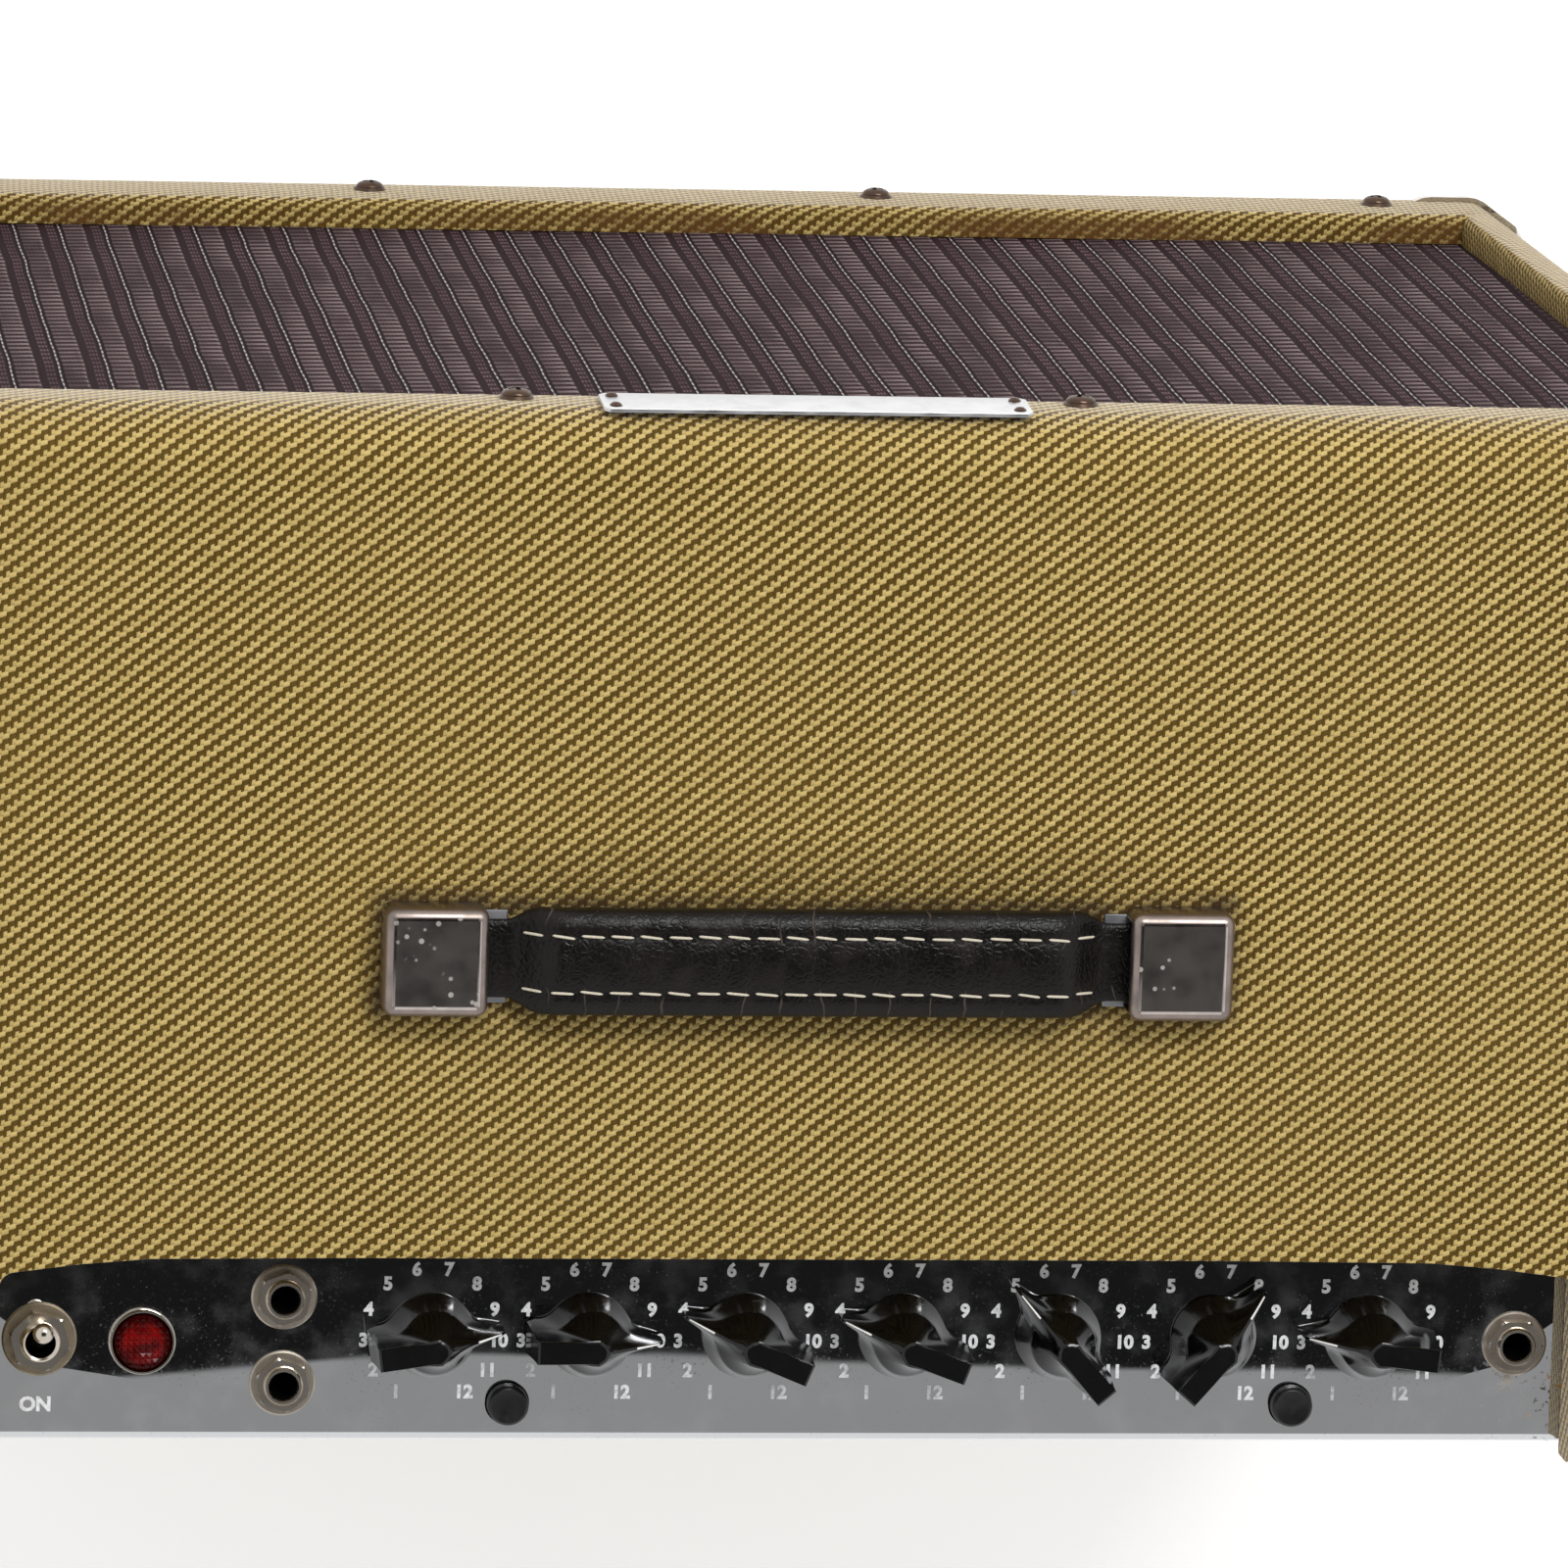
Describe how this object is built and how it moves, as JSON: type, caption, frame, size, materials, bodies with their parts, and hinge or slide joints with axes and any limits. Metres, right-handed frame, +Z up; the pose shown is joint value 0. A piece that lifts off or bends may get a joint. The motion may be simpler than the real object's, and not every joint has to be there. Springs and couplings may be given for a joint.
{
  "type": "guitar_amplifier",
  "caption": "Tweed-covered combo guitar amplifier with a woven grille, leather strap handle, chrome top-rear control panel, pointer knobs, jacks, speaker and valves.",
  "frame": {"origin": "on the floor under the middle of the cabinet", "axes": "+X to the right seen from the front, +Y to the rear, +Z up"},
  "size_m": [0.4734, 0.258, 0.4236],
  "materials": {
    "tweed": "lacquered two-tone twill over wood",
    "grille_fabric": "woven grille cloth with pale vertical threads",
    "plywood": "bare plywood",
    "nickel": "nickel-plated steel, slightly dulled",
    "chrome_plate": "chrome-plated steel sheet",
    "bright_plate": "bright plate, blank",
    "black_leather": "black leather, stitched",
    "rubber_feet": "moulded rubber",
    "black_knobs": "polished black phenolic",
    "red_lens": "faceted red jewel",
    "zinc_steel": "zinc-grey steel",
    "circuit_board": "glass-fibre board with moulded sockets and controls",
    "black_iron": "black-finished iron and ferrite",
    "tube_glass": "clear glass envelope",
    "cone_paper": "pressed dark paper"
  },
  "bodies": {
    "cabinet": {"cabinet_top": "tweed", "cabinet_bottom": "tweed", "cabinet_left_side": "tweed", "cabinet_right_side": "tweed", "front_rail_top": "tweed", "front_rail_bottom": "tweed", "upper_back_panel": "tweed", "lower_back_panel": "tweed", "grille_cloth": "grille_fabric", "baffle_board": "plywood", "handle_cap_left": "nickel", "handle_cap_right": "nickel", "corner_front_left": "nickel", "corner_front_right": "nickel", "corner_rear_left": "nickel", "corner_rear_right": "nickel", "input_jack": "nickel", "effects_send_jack": "nickel", "effects_return_jack": "nickel", "speaker_jack": "nickel", "footswitch_jack": "nickel", "power_switch_body": "nickel", "control_panel": "chrome_plate", "pilot_bezel": "chrome_plate", "name_plate": "bright_plate", "handle_tongue_left": "black_leather", "handle_tongue_right": "black_leather", "foot_front_left": "rubber_feet", "foot_front_right": "rubber_feet", "foot_rear_left": "rubber_feet", "foot_rear_right": "rubber_feet", "mains_inlet": "black_knobs", "pilot_lens": "red_lens", "chassis": "zinc_steel", "reverb_tank": "zinc_steel", "speaker_frame": "zinc_steel", "control_board": "circuit_board", "tube_board": "circuit_board", "power_transformer": "black_iron", "output_transformer": "black_iron", "speaker_magnet": "black_iron", "preamp_tube_1": "tube_glass", "preamp_tube_2": "tube_glass", "preamp_tube_3": "tube_glass", "power_tube_1": "tube_glass", "power_tube_2": "tube_glass", "power_tube_3": "tube_glass", "power_tube_4": "tube_glass"},
    "treble_knob": {"treble_knob": "black_knobs"},
    "middle_knob": {"middle_knob": "black_knobs"},
    "bass_knob": {"bass_knob": "black_knobs"},
    "reverb_knob": {"reverb_knob": "black_knobs"},
    "post_knob": {"post_knob": "black_knobs"},
    "pre_knob": {"pre_knob": "black_knobs"},
    "normal_knob": {"normal_knob": "black_knobs"},
    "power_switch_lever": {"power_switch_lever": "nickel"},
    "boost_button": {"boost_button": "black_knobs"},
    "channel_button": {"channel_button": "black_knobs"},
    "handle_grip": {"handle_grip": "black_leather"},
    "speaker_cone": {"speaker_cone": "cone_paper"}
  },
  "joints": [
    {"name": "treble_turn", "type": "hinge", "parent": "cabinet", "child": "treble_knob", "pos_m": [0.0858, 0.0987, 0.3987], "axis": [0, 0, -1], "range_deg": [-232, 68]},
    {"name": "middle_turn", "type": "hinge", "parent": "cabinet", "child": "middle_knob", "pos_m": [0.0477, 0.0987, 0.3987], "axis": [0, 0, -1], "range_deg": [-240, 60]},
    {"name": "bass_turn", "type": "hinge", "parent": "cabinet", "child": "bass_knob", "pos_m": [0.0096, 0.0987, 0.3987], "axis": [0, 0, -1], "range_deg": [-82, 218]},
    {"name": "reverb_turn", "type": "hinge", "parent": "cabinet", "child": "reverb_knob", "pos_m": [-0.0285, 0.0987, 0.3987], "axis": [0, 0, -1], "range_deg": [-80, 220]},
    {"name": "post_turn", "type": "hinge", "parent": "cabinet", "child": "post_knob", "pos_m": [-0.0666, 0.0987, 0.3987], "axis": [0, 0, -1], "range_deg": [-109, 191]},
    {"name": "pre_turn", "type": "hinge", "parent": "cabinet", "child": "pre_knob", "pos_m": [-0.1047, 0.0987, 0.3987], "axis": [0, 0, -1], "range_deg": [-191, 109]},
    {"name": "normal_turn", "type": "hinge", "parent": "cabinet", "child": "normal_knob", "pos_m": [-0.1428, 0.0987, 0.3987], "axis": [0, 0, -1], "range_deg": [-66, 234]},
    {"name": "power_toggle", "type": "hinge", "parent": "cabinet", "child": "power_switch_lever", "pos_m": [0.1801, 0.1, 0.3999], "axis": [-1, 0, 0], "range_deg": [0, 28]},
    {"name": "boost_press", "type": "slide", "parent": "cabinet", "child": "boost_button", "axis": [0, 0, -1], "range_m": [0, 0.003], "stiffness_N_per_m": 200, "springref_m": -0.001},
    {"name": "channel_press", "type": "slide", "parent": "cabinet", "child": "channel_button", "axis": [0, 0, -1], "range_m": [0, 0.003], "stiffness_N_per_m": 200, "springref_m": -0.001},
    {"name": "handle_lift", "type": "slide", "parent": "cabinet", "child": "handle_grip", "axis": [0, 0, 1], "range_m": [0, 0.012], "deforming": ["handle_tongue_left", "handle_tongue_right"]},
    {"name": "cone_travel", "type": "slide", "parent": "cabinet", "child": "speaker_cone", "axis": [0, -1, 0], "range_m": [-0.004, 0.004], "stiffness_N_per_m": 3000}
  ]
}
